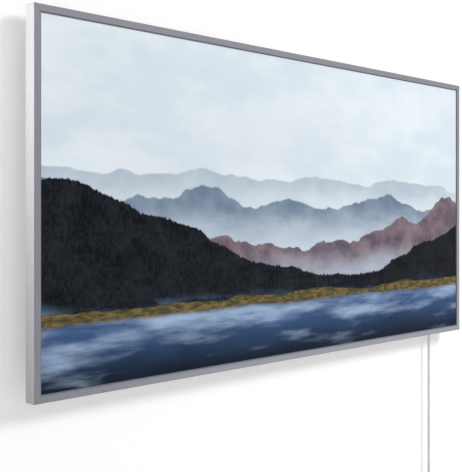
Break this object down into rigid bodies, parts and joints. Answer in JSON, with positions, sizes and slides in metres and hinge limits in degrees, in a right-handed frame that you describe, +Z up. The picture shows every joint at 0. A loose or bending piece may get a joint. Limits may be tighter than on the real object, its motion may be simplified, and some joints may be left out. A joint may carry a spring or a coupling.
{
  "type": "infrared panel heater",
  "caption": "Thin flat wall-hung radiant heater: a wide printed face in a slim satin metal frame, with a pale mains cord hanging from its lower right corner.",
  "frame": {"origin": "centre of the wall rail's back face, on the wall plane", "axes": "+X to the right as seen from the front, -Y out of the wall towards the room, +Z up"},
  "size_m": [1.2, 0.049, 1.1149],
  "materials": {
    "frame": "satin",
    "cast_key": "matte",
    "face": "satin",
    "seal": "matte",
    "laminate": "matte",
    "copper": "satin",
    "foil": "polished",
    "wool": "matte",
    "rear": "satin",
    "rail": "satin",
    "hanger": "satin",
    "fastener": "satin",
    "white_plastic": "satin",
    "pad": "matte",
    "cutout": "satin",
    "red_lead": "matte",
    "blue_lead": "matte",
    "green_lead": "matte",
    "nickel": "polished",
    "cord": "matte",
    "tie": "matte",
    "plug": "satin"
  },
  "bodies": {
    "rail": {"wall_rail": "rail"},
    "panel": {"buffer_pad_left": "pad", "buffer_pad_right": "pad", "buffer_stem_left": "white_plastic", "buffer_stem_right": "white_plastic", "busbar_bottom": "copper", "busbar_top": "copper", "cord_bend_sleeve": "cord", "cord_coil": "cord", "cord_run": "cord", "cord_tail": "cord", "cord_tie": "tie", "corner_key_bottom_left": "cast_key", "corner_key_bottom_right": "cast_key", "corner_key_top_left": "cast_key", "corner_key_top_right": "cast_key", "earth_lug": "nickel", "earth_screw": "fastener", "face_seal": "seal", "frame_bottom": "frame", "frame_left": "frame", "frame_right": "frame", "frame_top": "frame", "front_panel": "face", "gland_body": "white_plastic", "gland_cap": "white_plastic", "gland_locknut": "white_plastic", "hanger_left": "hanger", "hanger_right": "hanger", "hanger_rivet_1": "fastener", "hanger_rivet_2": "fastener", "hanger_rivet_3": "fastener", "hanger_rivet_4": "fastener", "heating_laminate": "laminate", "insulation_board": "wool", "lead_cutout": "red_lead", "lead_earth": "green_lead", "lead_live": "red_lead", "lead_neutral": "blue_lead", "lid_screw_1": "fastener", "lid_screw_2": "fastener", "plug_body": "plug", "plug_earth_front": "nickel", "plug_earth_rear": "nickel", "plug_pin_left": "nickel", "plug_pin_right": "nickel", "rear_panel": "rear", "rear_screw_1": "fastener", "rear_screw_2": "fastener", "rear_screw_3": "fastener", "rear_screw_4": "fastener", "rear_screw_5": "fastener", "rear_screw_6": "fastener", "rear_screw_7": "fastener", "rear_screw_8": "fastener", "reflector_foil": "foil", "terminal_block": "white_plastic", "terminal_box": "white_plastic", "terminal_box_lid": "white_plastic", "thermal_cutout": "cutout"}
  },
  "joints": [
    {"name": "panel_lift", "type": "slide", "parent": "rail", "child": "panel", "axis": [0, 0, 1], "range_m": [0, 0.012]}
  ]
}
